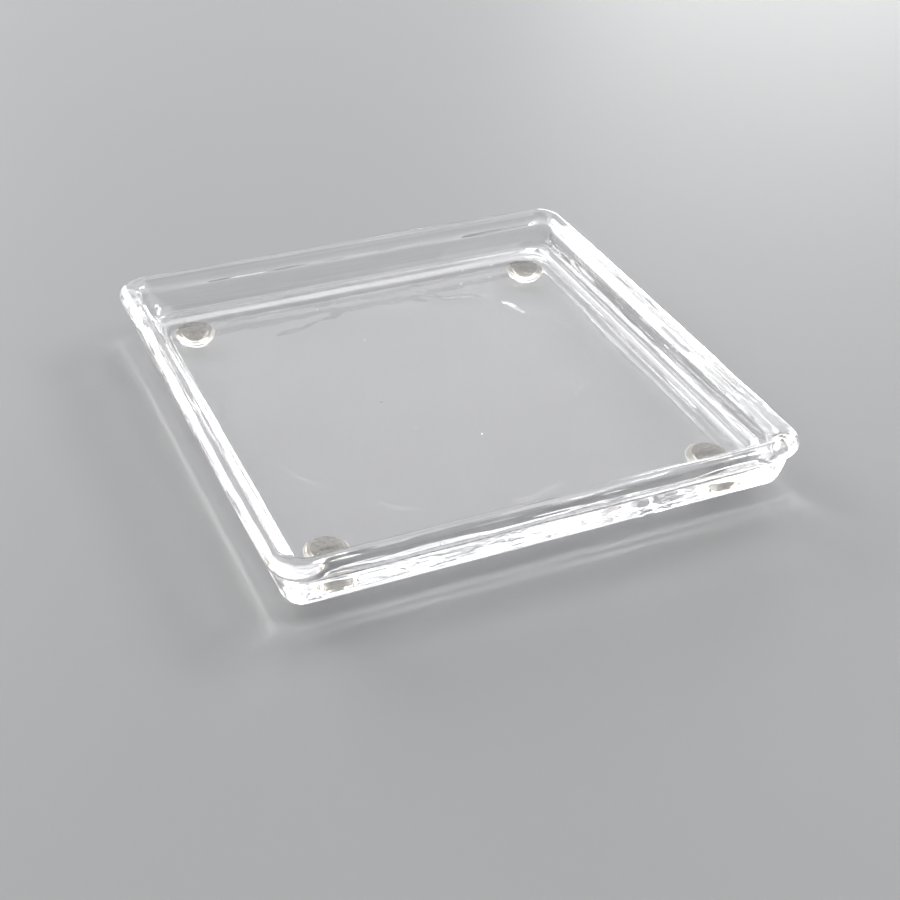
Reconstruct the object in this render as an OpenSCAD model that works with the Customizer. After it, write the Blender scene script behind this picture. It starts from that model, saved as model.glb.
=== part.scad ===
// Square shallow pressed-glass dish with a rounded lip, standing on four clear stick-on feet.
// Millimetres, +Z up. The origin is on the resting plane, midway between the feet.
// +X runs to the right along the front side and +Y runs to the back.

/* [Dish] */
// Side of the dish, measured across its lip
dish_side = 125; // [110:1:150]
// Height of the glass from its underside to the top of the lip
glass_height = 13; // [12:0.1:16]
// Thickness of the floor
floor_thickness = 4.8; // [3.5:0.1:5.5]
// Radius of the dish's corners in plan, at the outside of the lip
corner_radius = 7.3; // [6:0.1:12]
// Lean of the outer wall from upright, in degrees
outer_lean = 11; // [6:0.5:13]
// Lean of the inner wall from upright, in degrees
inner_lean = 18; // [8:0.5:22]
// Radius of the lower outside edge
base_edge_radius = 2.4; // [1:0.1:3]
// Radius of the blend between the inner wall and the floor
floor_blend_radius = 4; // [2:0.1:4.5]
// Plan radius of the flat floor's corners, inside that blend
floor_corner_radius = 0.8; // [0.2:0.1:3]

/* [Lip] */
// Width of the lip, from its outside to its inside
lip_width = 5.2; // [4.6:0.1:6]
// Rounding radius of the lip's two edges
lip_edge_radius = 2.4; // [1.8:0.1:2.4]
// How far the lip stands out from the top of the wall
lip_overhang = 1.3; // [0.8:0.1:1.6]

/* [Feet] */
// Diameter of a foot where it is stuck to the glass
foot_diameter = 10; // [7:0.5:12]
// Height of a foot
foot_height = 3.2; // [2:0.1:3.5]
// Diameter of the small flat that a foot stands on
foot_flat_diameter = 4; // [2:0.5:5]
// Distance from a side of the dish to the centres of the feet next to it
foot_inset = 16.1; // [13:0.1:24]
// Thickness of the adhesive disc between a foot and the glass
adhesive_thickness = 0.15; // [0.1:0.05:0.3]
// How much narrower an adhesive disc is than its foot
adhesive_setback = 0.4; // [0:0.1:1]

/* [Hidden] */
$fn = 96;

// Signs of X and Y at each corner where a foot stands
FRONT_LEFT = [-1, -1];
FRONT_RIGHT = [1, -1];
BACK_LEFT = [-1, 1];
BACK_RIGHT = [1, 1];

glass_colour = [0.85, 0.90, 0.90, 0.35];
foot_colour = [0.93, 0.93, 0.91, 0.55];
adhesive_colour = [0.95, 0.95, 0.90, 0.45];

// Heights
underside_z = foot_height + adhesive_thickness;
floor_z = underside_z + floor_thickness;
lip_top_z = underside_z + glass_height;
lip_edge_z = lip_top_z - lip_edge_radius;
// How far the space inside is carried past the top of the lip
clearance = 1;
// Angle between the points of a round outline
arc_step = 8;

// Outside of the dish, measured from the dish's middle
lip_half = dish_side / 2;
corner_centre = lip_half - corner_radius;
wall_top_half = lip_half - lip_overhang;
base_half = wall_top_half - (lip_edge_z - underside_z) * tan(outer_lean);

// Inside of the dish: the inner wall leaves the lip's inner edge tangentially
inner_edge_half = lip_half - lip_width + lip_edge_radius;
inner_top_half = inner_edge_half - lip_edge_radius * cos(inner_lean);
inner_top_z = lip_edge_z - lip_edge_radius * sin(inner_lean);
inner_low_half = inner_top_half - (inner_top_z - floor_z) * tan(inner_lean);
flat_floor_half = inner_low_half + rounding_shift(floor_blend_radius, inner_lean);
// Kept to a tenth of a millimetre, so that the corners and the straight runs meet exactly
inner_corner_centre = floor(10 * (flat_floor_half - floor_corner_radius)) / 10;

foot_offset = lip_half - foot_inset;

// Distance along the ground from a leaning wall's foot to the centre of a rounding between the two
function rounding_shift(radius, lean) = radius * tan(lean) - radius / cos(lean);

// Points along an arc, from one angle to another, at even steps of about arc_step degrees
function arc(centre, radius, from, to) =
    let (steps = ceil(abs(to - from) / arc_step))
    [for (i = [0:steps]) let (angle = from + (to - from) * i / steps)
        centre + radius * [cos(angle), sin(angle)]];

// Radius of the sphere that a foot's dome is cut from: it passes the foot's rim and its small flat
function dome_radius() =
    let (rim = foot_diameter / 2, flat = foot_flat_diameter / 2,
         centre_drop = (rim * rim - flat * flat - foot_height * foot_height) / (2 * foot_height))
    sqrt(rim * rim + centre_drop * centre_drop);

// The half sections below give X as the distance from a corner's upright centre line, Y as height.
// Half section of the dish's outside: underside, rounded edge, leaning wall and the lip's outer edge
module outside_half() {
    base_x = base_half - corner_centre + rounding_shift(base_edge_radius, outer_lean);
    edge_x = corner_radius - lip_edge_radius;
    wall_inset = (wall_top_half - corner_centre - edge_x) * cos(outer_lean);
    wall_meets_lip = -outer_lean - acos(wall_inset / lip_edge_radius);
    polygon(concat(
        [[0, underside_z]],
        arc([base_x, underside_z + base_edge_radius], base_edge_radius, -90, -outer_lean),
        arc([edge_x, lip_edge_z], lip_edge_radius, wall_meets_lip, 0),
        arc([edge_x, lip_edge_z], lip_edge_radius, arc_step, 90),
        [[0, lip_top_z]]
    ));
}

// Half section of the space inside the dish: floor, blend, leaning wall and the lip's inner edge
module inside_half() {
    floor_x = flat_floor_half - inner_corner_centre;
    edge_x = inner_edge_half - inner_corner_centre;
    polygon(concat(
        [[0, floor_z]],
        arc([floor_x, floor_z + floor_blend_radius], floor_blend_radius, -90, -inner_lean),
        arc([edge_x, lip_edge_z], lip_edge_radius, 180 + inner_lean, 90),
        [[edge_x, lip_top_z + clearance], [0, lip_top_z + clearance]]
    ));
}

// Takes a half section round a rounded square: a quarter turn at each corner, a straight run along
// each side, and a block that fills the middle between low_z and high_z
module round_the_square(centre, low_z, high_z) {
    for (turn = [0, 90, 180, 270])
        rotate([0, 0, turn]) translate([centre, centre, 0]) {
            rotate_extrude(angle = 90) children();
            rotate([90, 0, 0]) linear_extrude(2 * centre) children();
        }
    translate([-centre, -centre, low_z]) cube([2 * centre, 2 * centre, high_z - low_z]);
}

// The glass, pressed in one piece
module dish() {
    color(glass_colour)
        difference() {
            round_the_square(corner_centre, underside_z, lip_top_z) outside_half();
            round_the_square(inner_corner_centre, floor_z, lip_top_z + clearance) inside_half();
        }
}

// Clear domed foot: a sphere cut off flat at the glass and at the resting plane
module foot(corner) {
    ball = dome_radius();
    flat = foot_flat_diameter / 2;
    centre_z = sqrt(ball * ball - flat * flat);
    color(foot_colour)
        translate([corner.x * foot_offset, corner.y * foot_offset, 0])
            rotate_extrude()
                intersection() {
                    translate([0, centre_z]) circle(ball);
                    square([ball, foot_height]);
                }
}

// Thin adhesive disc that holds a foot to the underside
module adhesive(corner) {
    color(adhesive_colour)
        translate([corner.x * foot_offset, corner.y * foot_offset, foot_height])
            cylinder(h = adhesive_thickness, d = foot_diameter - adhesive_setback);
}

dish();
foot(FRONT_LEFT);  // foot_front_left
foot(FRONT_RIGHT);  // foot_front_right
foot(BACK_LEFT);  // foot_back_left
foot(BACK_RIGHT);  // foot_back_right
adhesive(FRONT_LEFT);  // adhesive_front_left
adhesive(FRONT_RIGHT);  // adhesive_front_right
adhesive(BACK_LEFT);  // adhesive_back_left
adhesive(BACK_RIGHT);  // adhesive_back_right
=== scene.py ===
import math

import bpy
import numpy as np
from mathutils import Matrix, Vector, noise
from mathutils.geometry import delaunay_2d_cdt

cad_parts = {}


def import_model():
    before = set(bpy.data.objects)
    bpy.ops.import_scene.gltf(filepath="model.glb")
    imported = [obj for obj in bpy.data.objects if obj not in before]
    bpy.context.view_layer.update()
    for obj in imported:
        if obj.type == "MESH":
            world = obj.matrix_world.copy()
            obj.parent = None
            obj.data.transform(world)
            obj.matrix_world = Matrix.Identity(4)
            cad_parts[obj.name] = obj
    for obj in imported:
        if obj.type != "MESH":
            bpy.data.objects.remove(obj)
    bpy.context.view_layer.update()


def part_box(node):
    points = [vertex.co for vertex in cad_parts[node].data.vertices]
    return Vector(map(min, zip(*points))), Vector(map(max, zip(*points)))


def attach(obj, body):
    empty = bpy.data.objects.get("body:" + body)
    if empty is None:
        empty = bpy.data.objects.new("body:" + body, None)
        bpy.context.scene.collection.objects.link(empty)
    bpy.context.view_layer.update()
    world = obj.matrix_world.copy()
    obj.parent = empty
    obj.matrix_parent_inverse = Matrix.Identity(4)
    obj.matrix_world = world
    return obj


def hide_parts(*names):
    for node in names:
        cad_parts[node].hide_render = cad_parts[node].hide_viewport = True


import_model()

MM = 0.001
CORNERS = {"front_left": (-1, -1), "front_right": (1, -1), "back_left": (-1, 1), "back_right": (1, 1)}

# The dish's outline, from its CAD solid, and the section values that part.scad gives
dish_low, dish_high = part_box("dish")
LIP_HALF = dish_high[0]
UNDERSIDE_Z = dish_low[2]
LIP_TOP_Z = dish_high[2]
FLOOR_Z = UNDERSIDE_Z + 4.8 * MM
LIP_WIDTH = 5.2 * MM
LIP_EDGE_RADIUS = 2.4 * MM
LIP_OVERHANG = 1.3 * MM
OUTER_LEAN = math.radians(11)
INNER_LEAN = math.radians(18)
BASE_EDGE_RADIUS = 2.4 * MM
FLOOR_BLEND_RADIUS = 4 * MM

# How finely the pieces are meshed
SECTION_STEP = 0.25 * MM
SIDE_STEPS = 88
CORNER_STEPS = 16
AROUND = 4 * (SIDE_STEPS + CORNER_STEPS)
DISC_STEPS = 64
LATHE_STEPS = 96
DOME_POINTS = 28
# Decimals of a metre to which two points of the underside are the same
SAME_POINT = 7

# The glass's unevenness: the outline's length as its noise counts it, how often the section is
# softened, and over how many rows or grid steps the waves fade out where flat faces begin
OUTLINE_WALK = 480 * MM
SOFTENING_PASSES = 12
FADE_ROWS = 14
FADE_STEPS = 8


# ---------------------------------------------------------------- meshes

def new_piece(name, points, faces, slots, materials, flat_from=None):
    """A mesh object. Faces from number flat_from on are shaded flat."""
    mesh = bpy.data.meshes.new(name)
    mesh.from_pydata([tuple(p) for p in points], [], [tuple(f) for f in faces])
    for material in materials:
        mesh.materials.append(material)
    mesh.polygons.foreach_set("material_index", slots)
    curved = len(faces) if flat_from is None else flat_from
    mesh.polygons.foreach_set("use_smooth", [i < curved for i in range(len(faces))])
    mesh.validate()
    mesh.update()
    piece = bpy.data.objects.new(name, mesh)
    bpy.context.scene.collection.objects.link(piece)
    return piece


def arc(centre, radius, start, end, steps=24):
    angles = np.radians(np.linspace(start, end, steps + 1))
    return np.stack([centre[0] + radius * np.cos(angles), centre[1] + radius * np.sin(angles)], 1)


def even_steps(line, step):
    """The same line, with its points at even distances of about step."""
    lengths = np.concatenate([[0], np.cumsum(np.hypot(*np.diff(line, axis=0).T))])
    at = np.linspace(0, lengths[-1], int(round(lengths[-1] / step)) + 1)
    return np.stack([np.interp(at, lengths, line[:, i]) for i in (0, 1)], 1)


def softened(line, passes):
    """The line with its creases rounded, as fire polishing leaves them. Its ends stay."""
    for _ in range(passes):
        line[1:-1] = (line[:-2] + 2 * line[1:-1] + line[2:]) / 4
    return line


def dish_section():
    """The dish's section from the edge of the flat floor, over the lip, to the flat underside:
    distance from the dish's middle against height."""
    lip_edge_z = LIP_TOP_Z - LIP_EDGE_RADIUS
    inner_edge = LIP_HALF - LIP_WIDTH + LIP_EDGE_RADIUS
    inner_top = inner_edge - LIP_EDGE_RADIUS * math.cos(INNER_LEAN)
    inner_top_z = lip_edge_z - LIP_EDGE_RADIUS * math.sin(INNER_LEAN)
    inner_low = inner_top - (inner_top_z - FLOOR_Z) * math.tan(INNER_LEAN)
    flat_floor = (inner_low + FLOOR_BLEND_RADIUS * math.tan(INNER_LEAN)
                  - FLOOR_BLEND_RADIUS / math.cos(INNER_LEAN))
    wall_top = LIP_HALF - LIP_OVERHANG
    base = wall_top - (lip_edge_z - UNDERSIDE_Z) * math.tan(OUTER_LEAN)
    base_centre = (base + BASE_EDGE_RADIUS * math.tan(OUTER_LEAN)
                   - BASE_EDGE_RADIUS / math.cos(OUTER_LEAN))
    outer_edge = LIP_HALF - LIP_EDGE_RADIUS
    inset = (wall_top - outer_edge) * math.cos(OUTER_LEAN)
    lean = math.degrees(OUTER_LEAN)
    meets = -lean - math.degrees(math.acos(inset / LIP_EDGE_RADIUS))
    line = np.concatenate([
        arc((flat_floor, FLOOR_Z + FLOOR_BLEND_RADIUS), FLOOR_BLEND_RADIUS, -90,
            -math.degrees(INNER_LEAN)),
        arc((inner_edge, lip_edge_z), LIP_EDGE_RADIUS, 180 + math.degrees(INNER_LEAN), 90),
        arc((outer_edge, lip_edge_z), LIP_EDGE_RADIUS, 90, meets),
        arc((base_centre, UNDERSIDE_Z + BASE_EDGE_RADIUS), BASE_EDGE_RADIUS, -lean, -90),
    ])
    return softened(even_steps(line, SECTION_STEP), SOFTENING_PASSES)


def corner_centres(section):
    """Where the plan's corner rounding is centred at each point of the section, in shares of the
    way along it: well inside at the floor, and nearer the outside at the lip and wall."""
    share = np.linspace(0, 1, len(section))
    along = (0, 0.15, 0.30, 0.37, 0.47, 0.6, 0.85, 1)
    centre_mm = (47.2, 49.0, 53.0, 54.3, 55.1, 55.2, 55.0, 54.6)
    return np.interp(share, along, centre_mm) * MM


def ring(half, centre):
    """Points of a rounded square, anticlockwise from the middle of its front right corner, with
    the outward direction at each."""
    radius = half - centre
    points, outward = [], []
    for side in range(4):
        turn = side * math.pi / 2
        for i in range(CORNER_STEPS // 2):
            angle = -math.pi / 4 + math.pi / 2 * i / CORNER_STEPS
            points.append((centre + radius * math.cos(angle), -centre + radius * math.sin(angle), turn))
            outward.append(angle + turn)
        for i in range(SIDE_STEPS):
            points.append((half, -centre + 2 * centre * i / SIDE_STEPS, turn))
            outward.append(turn)
        for i in range(CORNER_STEPS // 2):
            angle = math.pi / 2 * i / CORNER_STEPS
            points.append((centre + radius * math.cos(angle), centre + radius * math.sin(angle), turn))
            outward.append(angle + turn)
    p, outward = np.array(points), np.array(outward)
    cos, sin = np.cos(p[:, 2]), np.sin(p[:, 2])
    xy = np.stack([p[:, 0] * cos - p[:, 1] * sin, p[:, 0] * sin + p[:, 1] * cos], 1)
    return xy, np.stack([np.cos(outward), np.sin(outward)], 1)


def coons(edge, steps):
    """A grid of points that fills a closed ring of 4 * steps points."""
    t = np.linspace(0, 1, steps + 1)
    closed = np.concatenate([edge, edge[:1]])
    low, right = closed[:steps + 1], closed[steps:2 * steps + 1]
    high, left = closed[2 * steps:3 * steps + 1][::-1], closed[3 * steps:][::-1]
    u, v = t[None, :, None], t[:, None, None]
    across = (1 - v) * low[None] + v * high[None]
    along = (1 - u) * left[:, None] + u * right[:, None]
    corners = ((1 - u) * (1 - v) * low[0] + u * (1 - v) * low[-1]
               + (1 - u) * v * high[0] + u * v * high[-1])
    return across + along - corners


def smooth_noise(x, y, seed):
    return noise.noise(Vector((x, y, seed * 7.31)))


def wall_wave(walked, down):
    """How far pressing left the walls from true, at a distance along the outline and one down
    the section: fine and coarser flow lines that run with the side, and a broad swell."""
    patch = 1 + 1.4 * smooth_noise(walked / (14 * MM), down / (6 * MM), 2)
    fine = smooth_noise(walked / (17 * MM), down / (0.62 * MM), 3)
    coarse = smooth_noise(walked / (24 * MM), down / (1.4 * MM), 5)
    swell = smooth_noise(walked / (9 * MM), down / (5 * MM), 9)
    return (patch * (0.05 * fine + 0.075 * coarse) + 0.1 * swell - 0.05) * MM


def floor_wave(x, y):
    """The floor's unevenness: a broad swell and a shallow round step about the middle."""
    swell = smooth_noise(x / (26 * MM), y / (26 * MM), 1) + 0.4 * smooth_noise(
        x / (11 * MM), y / (11 * MM), 2)
    r = math.hypot(x, y) / MM
    step = -0.10 / (1 + math.exp((r - 44) / 1.6))
    return (0.10 * swell + step) * MM


def wall_points(section):
    """The section taken round the dish, row by row, and pushed out or in by the waves."""
    tangent = np.gradient(section, axis=0)
    tangent /= np.linalg.norm(tangent, axis=1)[:, None]
    points = []
    for row, ((half, z), centre) in enumerate(zip(section, corner_centres(section))):
        outline, outward = ring(half, centre)
        fade = min(1, min(row, len(section) - 1 - row) / FADE_ROWS) ** 2
        push, lift = -tangent[row, 1], tangent[row, 0]
        for number, (place, way) in enumerate(zip(outline, outward)):
            far = fade * wall_wave(OUTLINE_WALK * number / AROUND, row * SECTION_STEP)
            x, y = (place + way * push * far).clip(-LIP_HALF, LIP_HALF)
            points.append((x, y, min(z + lift * far, LIP_TOP_Z)))
    return points


def wall_faces(rows, around):
    """Four-sided faces between one closed row of points and the next."""
    faces = []
    for row in range(rows - 1):
        for i in range(around):
            a, b = row * around + i, row * around + (i + 1) % around
            faces.append((a, a + around, b + around, b))
    return faces


def floor_top(points):
    """The faces of the floor's top, within the first row of points. Adds their points."""
    steps = SIDE_STEPS + CORNER_STEPS
    grid = coons(np.array([p[:2] for p in points[:AROUND]]), steps)
    index = np.full((steps + 1, steps + 1), -1)
    rim = ([(0, i) for i in range(steps)] + [(i, steps) for i in range(steps)]
           + [(steps, steps - i) for i in range(steps)] + [(steps - i, 0) for i in range(steps)])
    for number, (v, u) in enumerate(rim):
        index[v, u] = number
    for v in range(1, steps):
        for u in range(1, steps):
            x, y = grid[v, u]
            index[v, u] = len(points)
            fade = min(1, min(u, v, steps - u, steps - v) / FADE_STEPS)
            points.append((x, y, FLOOR_Z + fade * floor_wave(x, y)))
    return [(index[v, u], index[v, u + 1], index[v + 1, u + 1], index[v + 1, u])
            for v in range(steps) for u in range(steps)]


def underside(points, last, disc_radius, discs):
    """The faces of the flat underside, within the row of points that starts at last, and for each
    whether an adhesive disc is stuck to it. Adds their points."""
    flat = [Vector(points[last + i][:2]) for i in range(AROUND)]
    edges = [(i, (i + 1) % AROUND) for i in range(AROUND)]
    for x, y in discs:
        first = len(flat)
        flat += [Vector((x + disc_radius * math.cos(a), y + disc_radius * math.sin(a)))
                 for a in np.linspace(0, 2 * math.pi, DISC_STEPS, endpoint=False)]
        edges += [(first + i, first + (i + 1) % DISC_STEPS) for i in range(DISC_STEPS)]
    made, _, triangles, _, _, _ = delaunay_2d_cdt(flat, edges, [], 1, 10 ** -SAME_POINT)
    known = {(round(p.x, SAME_POINT), round(p.y, SAME_POINT)): last + i
             for i, p in enumerate(flat[:AROUND])}
    place = []
    for p in made:
        key = (round(p.x, SAME_POINT), round(p.y, SAME_POINT))
        if key not in known:
            known[key] = len(points)
            points.append((p.x, p.y, UNDERSIDE_Z))
        place.append(known[key])
    faces, stuck = [], []
    for triangle in triangles:
        a, b, c = triangle
        area = (made[b] - made[a]).cross(made[c] - made[a])
        faces.append([place[i] for i in (triangle if area < 0 else triangle[::-1])])
        middle = sum((made[i] for i in triangle), Vector((0, 0))) / 3
        stuck.append(any(math.hypot(middle.x - x, middle.y - y) < disc_radius for x, y in discs))
    return faces, stuck


def dish_mesh(glass, bonded, disc_radius, discs):
    """The whole surface of the glass. The faces that the adhesive discs cover are bonded."""
    section = dish_section()
    points = wall_points(section)
    curved = wall_faces(len(section), AROUND) + floor_top(points)
    flat, stuck = underside(points, (len(section) - 1) * AROUND, disc_radius, discs)
    slots = [0] * len(curved) + [int(covered) for covered in stuck]
    return new_piece("dish_glass", points, curved + flat, slots, [glass, bonded], len(curved))


def lathed(name, outline, middle, slots, materials):
    """A closed turned piece: outline gives radius and height from the top's middle to the
    bottom's middle, and slots the material of each step."""
    around = LATHE_STEPS
    points, faces, used = [(*middle, outline[0][1])], [], []
    for radius, z in outline[1:-1]:
        for i in range(around):
            angle = 2 * math.pi * i / around
            x, y = middle[0] + radius * math.cos(angle), middle[1] + radius * math.sin(angle)
            points.append((x, y, z))
    points.append((*middle, outline[-1][1]))
    end = len(points) - 1
    rows = len(outline) - 2
    for i in range(around):
        j = (i + 1) % around
        faces.append((0, 1 + i, 1 + j))
        used.append(slots[0])
        for row in range(rows - 1):
            a, b = 1 + row * around + i, 1 + row * around + j
            faces.append((a, a + around, b + around, b))
            used.append(slots[row + 1])
        low = 1 + (rows - 1) * around
        faces.append((end, low + j, low + i))
        used.append(slots[-1])
    return new_piece(name, points, faces, used, materials)


# ---------------------------------------------------------------- materials

GLASS_IOR = 1.52
ELASTOMER_IOR = 1.5
# The ring mark in the floor, in mm
RING_RADIUS = 50
RING_WIDTH = 3.4


def math_node(tree, operation, a, b):
    """The outcome of an operation on a and b, each a socket or a plain number."""
    node = tree.nodes.new("ShaderNodeMath")
    node.operation = operation
    for socket, value in zip(node.inputs, (a, b)):
        if isinstance(value, (int, float)):
            socket.default_value = value
        else:
            tree.links.new(value, socket)
    return node.outputs["Value"]


def ramp_node(tree, value, low, high, start, end):
    """start where value is under low, end where it is over high, eased between."""
    node = tree.nodes.new("ShaderNodeMapRange")
    node.interpolation_type = "SMOOTHSTEP"
    tree.links.new(value, node.inputs["Value"])
    for name, number in (("From Min", low), ("From Max", high), ("To Min", start), ("To Max", end)):
        node.inputs[name].default_value = number
    return node.outputs["Result"]


def material(name, base, roughness, ior):
    """A clear material. Returns it, its node tree and its shader."""
    mat = bpy.data.materials.new(name)
    mat.use_nodes = True
    shader = mat.node_tree.nodes["Principled BSDF"]
    shader.inputs["Base Color"].default_value = (*base, 1)
    shader.inputs["Roughness"].default_value = roughness
    shader.inputs["IOR"].default_value = ior
    shader.inputs["Transmission Weight"].default_value = 1
    return mat, mat.node_tree, shader


class Texture:
    """Procedural patterns for one material, in millimetres of the object's own frame."""

    def __init__(self, tree):
        self.tree = tree
        coordinates = tree.nodes.new("ShaderNodeTexCoord").outputs["Object"]
        self.place = self.vector("SCALE", coordinates, scale=1 / MM)

    def vector(self, operation, a, b=None, scale=None):
        node = self.tree.nodes.new("ShaderNodeVectorMath")
        node.operation = operation
        self.tree.links.new(a, node.inputs[0])
        if b is not None:
            node.inputs[1].default_value = b
        if scale is not None:
            node.inputs["Scale"].default_value = scale
        return node.outputs["Value" if operation == "LENGTH" else "Vector"]

    def number(self, operation, a, b):
        return math_node(self.tree, operation, a, b)

    def upward(self):
        """Height in mm."""
        split = self.tree.nodes.new("ShaderNodeSeparateXYZ")
        self.tree.links.new(self.place, split.inputs[0])
        return split.outputs["Z"]

    def noise(self, size, detail=3, stretch=(1, 1, 1), turn=0):
        """Noise whose features are about size mm, or longer along an axis by stretch."""
        mapping = self.tree.nodes.new("ShaderNodeMapping")
        mapping.vector_type = "TEXTURE"
        mapping.inputs["Rotation"].default_value = (0, 0, math.radians(turn))
        mapping.inputs["Scale"].default_value = tuple(size * s for s in stretch)
        self.tree.links.new(self.place, mapping.inputs["Vector"])
        node = self.tree.nodes.new("ShaderNodeTexNoise")
        node.inputs["Scale"].default_value = 1
        node.inputs["Detail"].default_value = detail
        self.tree.links.new(mapping.outputs["Vector"], node.inputs["Vector"])
        return node.outputs["Fac"]

    def seeds(self, spacing, radius):
        """Scattered round spots, spacing mm apart in space: 1 at their middles, 0 at their rims."""
        node = self.tree.nodes.new("ShaderNodeTexVoronoi")
        node.inputs["Scale"].default_value = 1 / spacing
        self.tree.links.new(self.place, node.inputs["Vector"])
        return self.ramp(node.outputs["Distance"], 0, radius / spacing, 1, 0)

    def ramp(self, value, low, high, start=0, end=1):
        return ramp_node(self.tree, value, low, high, start, end)

    def ridge(self, value, middle, width):
        """1 where value is middle, easing to 0 at width away from it."""
        away = self.number("ABSOLUTE", self.number("SUBTRACT", value, middle), 0)
        return self.ramp(away, 0, width, 1, 0)

    def tint(self, factor, dark, light, socket):
        """Colours socket from dark, where factor is 0, to light, where it is 1."""
        mix = self.tree.nodes.new("ShaderNodeMix")
        mix.data_type = "RGBA"
        self.tree.links.new(factor, mix.inputs["Factor"])
        mix.inputs["A"].default_value = (*dark, 1)
        mix.inputs["B"].default_value = (*light, 1)
        self.tree.links.new(mix.outputs["Result"], socket)

    def bump(self, height, shader):
        """Raises the surface by height, in mm."""
        node = self.tree.nodes.new("ShaderNodeBump")
        node.inputs["Strength"].default_value = 1
        node.inputs["Distance"].default_value = MM
        self.tree.links.new(height, node.inputs["Height"])
        self.tree.links.new(node.outputs["Normal"], shader.inputs["Normal"])


def bonded_material():
    """Glass where something of the same index is stuck to it, so that light goes straight on."""
    return material("bonded_glass", (1, 1, 1), 0, 1.0)[0]


def film_material():
    """Clear adhesive between two pieces of its own index, which light passes straight through,
    with the faint mottling of where it has wetted the glass."""
    mat = bpy.data.materials.new("adhesive_film")
    mat.use_nodes = True
    tree = mat.node_tree
    tree.nodes.clear()
    clear = tree.nodes.new("ShaderNodeBsdfTransparent")
    texture = Texture(tree)
    mottled = texture.ramp(texture.noise(1.1, 4), 0.45, 0.68)
    texture.tint(mottled, (0.985, 0.98, 0.965), (0.86, 0.83, 0.78), clear.inputs["Color"])
    tree.links.new(clear.outputs[0], tree.nodes.new("ShaderNodeOutputMaterial").inputs["Surface"])
    return mat


def worn_scratches(texture):
    """Hairlines at two slants, in patches of the floor's top."""
    patches = texture.ramp(texture.noise(22, 1, turn=20), 0.56, 0.64)
    at_floor = texture.ridge(texture.upward(), FLOOR_Z / MM, 1.5)
    short = texture.ridge(texture.noise(1.0, 0, (24, 1.7, 24), 41), 0.5, 0.012)
    long = texture.ridge(texture.noise(1.0, 0, (30, 3.1, 30), 12), 0.5, 0.006)
    return texture.number("MULTIPLY", texture.number("MAXIMUM", short, long),
                          texture.number("MULTIPLY", patches, at_floor))


def ring_mark(texture, waver):
    """A ring about the dish's middle, broken here and there, its radius wavering."""
    flat = texture.vector("MULTIPLY", texture.place, (1, 1, 0))
    radius = texture.number("ADD", texture.vector("LENGTH", flat),
                            texture.number("MULTIPLY", waver, 12))
    return texture.number("MULTIPLY", texture.ridge(radius, RING_RADIUS, RING_WIDTH),
                          texture.ramp(texture.noise(20, 0), 0.40, 0.56))


def glass_material():
    """Pressed clear glass, faintly cool, with a flow mark, seeds, smudges and hairline scratches."""
    mat, tree, shader = material("pressed_glass", (0.97, 0.968, 0.975), 0.0, GLASS_IOR)
    texture = Texture(tree)
    broad = texture.noise(16, 1)
    texture.tint(broad, (0.99, 0.99, 0.985), (0.955, 0.95, 0.965), shader.inputs["Base Color"])
    scratches = worn_scratches(texture)
    smudge = texture.ramp(texture.noise(13, 3, (1.6, 0.8, 1), 35), 0.52, 0.74)
    roughness = texture.number("ADD", texture.number("MULTIPLY", smudge, 0.09),
                               texture.number("MULTIPLY", scratches, 0.2))
    tree.links.new(roughness, shader.inputs["Roughness"])
    # Heights in mm
    ring, peel = ring_mark(texture, broad), texture.noise(3.2, 1)
    height = texture.number("MULTIPLY", ring, 0.08)
    height = texture.number("ADD", height, texture.number("MULTIPLY", peel, 0.02))
    for hollow, depth in ((scratches, 0.006), (texture.seeds(9, 0.4), 0.1)):
        height = texture.number("SUBTRACT", height, texture.number("MULTIPLY", hollow, depth))
    texture.bump(height, shader)
    return mat


def elastomer_material():
    """Clear soft moulded elastomer, slightly warm and a little hazy."""
    mat, tree, shader = material("clear_elastomer", (0.95, 0.93, 0.9), 0.02, ELASTOMER_IOR)
    texture = Texture(tree)
    texture.tint(texture.noise(2.5, 3), (0.98, 0.97, 0.955), (0.94, 0.92, 0.885),
                 shader.inputs["Base Color"])
    tree.links.new(texture.ramp(texture.noise(1.6, 4), 0.4, 0.75, 0.015, 0.09),
                   shader.inputs["Roughness"])
    texture.bump(texture.number("MULTIPLY", texture.noise(0.9, 3), 0.012), shader)
    return mat


def floor_material():
    """Plain pale matt board, with the faintest unevenness of tone."""
    mat = bpy.data.materials.new("studio_floor")
    mat.use_nodes = True
    shader = mat.node_tree.nodes["Principled BSDF"]
    texture = Texture(mat.node_tree)
    texture.tint(texture.noise(60, 5), FLOOR_TONE, tuple(c * 1.03 for c in FLOOR_TONE),
                 shader.inputs["Base Color"])
    shader.inputs["Roughness"].default_value = 0.45
    shader.inputs["Specular IOR Level"].default_value = 0.1
    return mat


# ---------------------------------------------------------------- the object

glass = glass_material()
bonded = bonded_material()
elastomer = elastomer_material()
film = film_material()

foot_low, foot_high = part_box("foot_front_right")
film_low, film_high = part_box("adhesive_front_right")
FOOT_RADIUS = (foot_high[0] - foot_low[0]) / 2
FOOT_OFFSET = (foot_high[0] + foot_low[0]) / 2
FOOT_HEIGHT = foot_high[2]
FILM_RADIUS = (film_high[0] - film_low[0]) / 2
FLAT_RADIUS = 2 * MM
# A hollow in the flat that a foot stands on, which keeps its face out of the studio floor's plane
FOOT_HOLLOW = 0.03 * MM
# How much the foot's rim and the edge of its flat are blunted
RIM_BLUNT = 0.1 * MM
FLAT_BLUNT = 0.2 * MM


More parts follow.
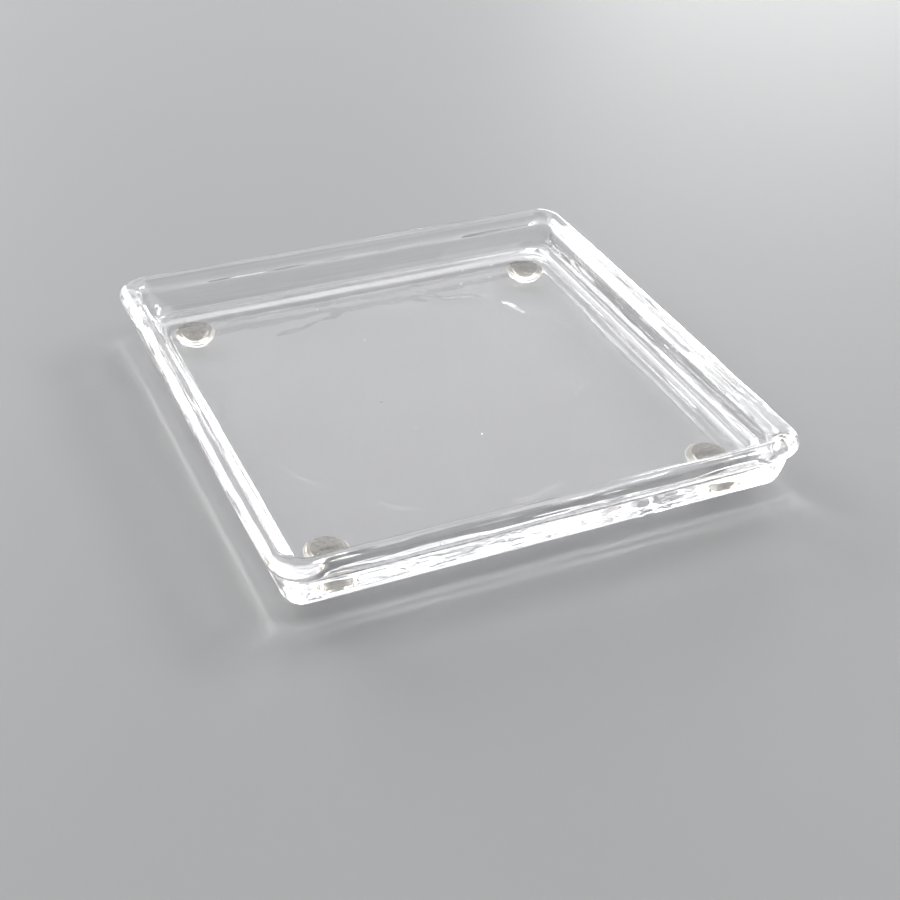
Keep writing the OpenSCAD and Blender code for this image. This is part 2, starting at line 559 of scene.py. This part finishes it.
def foot_outline():
    """A foot's half section: its flat top, a dome that is part of a ball, and its hollowed flat."""
    drop = (FOOT_RADIUS ** 2 - FLAT_RADIUS ** 2 - FOOT_HEIGHT ** 2) / (2 * FOOT_HEIGHT)
    ball = math.hypot(FOOT_RADIUS, drop)
    centre_z = FOOT_HEIGHT + drop
    angles = np.linspace(math.asin(drop / ball), math.acos(FLAT_RADIUS / ball), DOME_POINTS)
    top = [(0, FOOT_HEIGHT), (FILM_RADIUS, FOOT_HEIGHT), (FOOT_RADIUS - RIM_BLUNT, FOOT_HEIGHT)]
    dome = [(ball * math.cos(a), centre_z - ball * math.sin(a)) for a in angles]
    return top + dome + [(FLAT_RADIUS - FLAT_BLUNT, 0), (0, FOOT_HOLLOW)]


def film_outline():
    """An adhesive disc's half section."""
    top, low = film_high[2], film_low[2]
    return [(0, top), (FILM_RADIUS, top), (FILM_RADIUS, low), (0, low)]


places = {corner: (x * FOOT_OFFSET, y * FOOT_OFFSET) for corner, (x, y) in CORNERS.items()}

dish = dish_mesh(glass, bonded, FILM_RADIUS, list(places.values()))
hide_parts("dish")
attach(dish, "root")

for corner, middle in places.items():
    outline = foot_outline()
    # The part of the foot's top that the film covers is bonded
    slots = [1] + [0] * (len(outline) - 2)
    foot = lathed("bumper_" + corner, outline, middle, slots, [elastomer, bonded])
    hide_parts("foot_" + corner)
    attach(foot, "root")
    disc = lathed("film_" + corner, film_outline(), middle, [0, 0, 0], [film])
    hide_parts("adhesive_" + corner)
    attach(disc, "root")

# ---------------------------------------------------------------- studio

FLOOR_TONE = (0.22, 0.22, 0.22)
ROOM_AZIMUTH = 35
ROOM_BRIGHT = 2.2
ROOM_DIM = 0.5
ROOM_LEAST = 0.3
FLOOR_REACH = 3.0
# A long lens, from the front left, looking down at the dish and turned a little
LENS_MM = 61.8
SENSOR_MM = 36
CAMERA_TURN = (26.12, 35.39, 2.74)
CAMERA_PLACE = (-0.1337, -0.2801, 0.1929 + LIP_TOP_Z)
# Light is led along inside the walls by many reflections
BOUNCES = 32


def area_light(name, place, size, power):
    """A soft rectangular light that faces the dish."""
    light = bpy.data.lights.new(name, "AREA")
    light.shape = "RECTANGLE"
    light.size, light.size_y = size
    light.energy = power
    lamp = bpy.data.objects.new(name, light)
    lamp.location = place
    lamp.visible_camera = False
    lamp.rotation_euler = (-Vector(place)).to_track_quat("-Z", "Y").to_euler()
    bpy.context.scene.collection.objects.link(lamp)


def floor():
    mesh = bpy.data.meshes.new("studio_floor")
    turns = ((-1, -1), (1, -1), (1, 1), (-1, 1))
    mesh.from_pydata([(x * FLOOR_REACH, y * FLOOR_REACH, 0) for x, y in turns], [], [(0, 1, 2, 3)])
    plane = bpy.data.objects.new("studio_floor", mesh)
    mesh.materials.append(floor_material())
    bpy.context.scene.collection.objects.link(plane)


def world():
    """A pale room: bright beyond the dish and dimmer behind the camera, brightest halfway up,
    and dim straight overhead and low down."""
    sky = bpy.data.worlds.new("studio")
    sky.use_nodes = True
    tree = sky.node_tree
    background = tree.nodes["Background"]
    way = tree.nodes.new("ShaderNodeTexCoord").outputs["Generated"]

    def eased(toward, low, high, dim, bright):
        """dim where the direction's share of toward is under low, bright where it is over high."""
        share = tree.nodes.new("ShaderNodeVectorMath")
        share.operation = "DOT_PRODUCT"
        share.inputs[1].default_value = toward
        tree.links.new(way, share.inputs[0])
        return ramp_node(tree, share.outputs["Value"], low, high, dim, bright)

    room = math.radians(ROOM_AZIMUTH)
    beyond = eased((math.sin(room), math.cos(room), 0), -0.35, 0.25, ROOM_DIM, ROOM_BRIGHT)
    low = eased((0, 0, 1), 0.08, 0.26, 0.08, 0.75)
    high = eased((0, 0, 1), 0.63, 0.74, 1, 1.8)
    overhead = eased((0, 0, 1), 0.87, 0.97, 1, 0.2)
    level = math_node(tree, "MULTIPLY", math_node(tree, "MULTIPLY", beyond, low),
                      math_node(tree, "MULTIPLY", high, overhead))
    tree.links.new(math_node(tree, "MAXIMUM", level, ROOM_LEAST), background.inputs["Strength"])
    background.inputs["Color"].default_value = (0.97, 0.98, 1.0, 1)
    bpy.context.scene.world = sky


def camera():
    """The photograph's view."""
    yaw, pitch, roll = (math.radians(angle) for angle in CAMERA_TURN)
    ahead = Vector((math.sin(yaw) * math.cos(pitch), math.cos(yaw) * math.cos(pitch), -math.sin(pitch)))
    side = Vector((math.cos(yaw), -math.sin(yaw), 0))
    above = side.cross(ahead)
    right = side * math.cos(roll) + above * math.sin(roll)
    up = above * math.cos(roll) - side * math.sin(roll)
    data = bpy.data.cameras.new("camera")
    data.lens = LENS_MM
    data.sensor_width = SENSOR_MM
    cam = bpy.data.objects.new("camera", data)
    turn = Matrix((right, up, -ahead)).transposed()
    cam.matrix_world = Matrix.Translation(CAMERA_PLACE) @ turn.to_4x4()
    bpy.context.scene.collection.objects.link(cam)
    bpy.context.scene.camera = cam


floor()
world()
camera()
area_light("window", (-0.95, 0.75, 1.0), (0.8, 0.6), 5)
area_light("left_screen", (-0.53, 1.31, 0.51), (1.0, 0.75), 18)
area_light("right_screen", (0.94, 1.12, 0.31), (0.5, 0.4), 5)
area_light("side_screen", (1.2, 0.26, 0.86), (0.9, 0.35), 10)
bpy.context.scene.view_settings.view_transform = "Standard"
cycles = bpy.context.scene.cycles
# Softened glossy light would darken the floor behind the glass
cycles.blur_glossy = 0
cycles.max_bounces = BOUNCES
cycles.glossy_bounces = BOUNCES
cycles.transmission_bounces = BOUNCES
